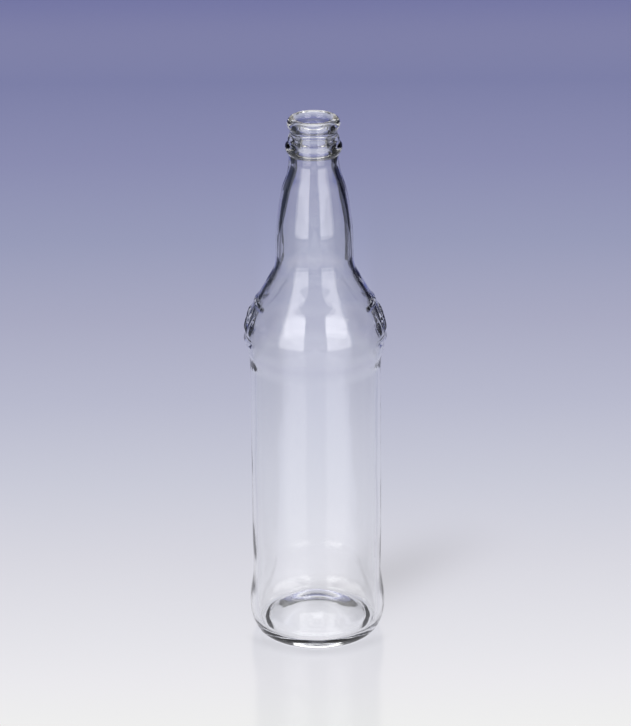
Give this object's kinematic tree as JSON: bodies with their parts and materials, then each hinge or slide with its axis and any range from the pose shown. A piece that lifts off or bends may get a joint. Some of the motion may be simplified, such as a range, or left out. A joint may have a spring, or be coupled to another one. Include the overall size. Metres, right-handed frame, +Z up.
{
  "type": "empty glass beer bottle",
  "caption": "Empty clear glass bottle with a crown-cork mouth, long neck, conical shoulder, recessed label panel and domed base.",
  "frame": {"origin": "centre of the base, on the plane that the bottle stands on", "axes": "+Z up along the bottle's axis, towards the mouth; +X and -X through the two raised panels on the shoulder"},
  "size_m": [0.0732, 0.0716, 0.28],
  "materials": {
    "glass": "clear flint glass, polished"
  },
  "bodies": {
    "root": {"bottle": "glass"}
  },
  "joints": []
}
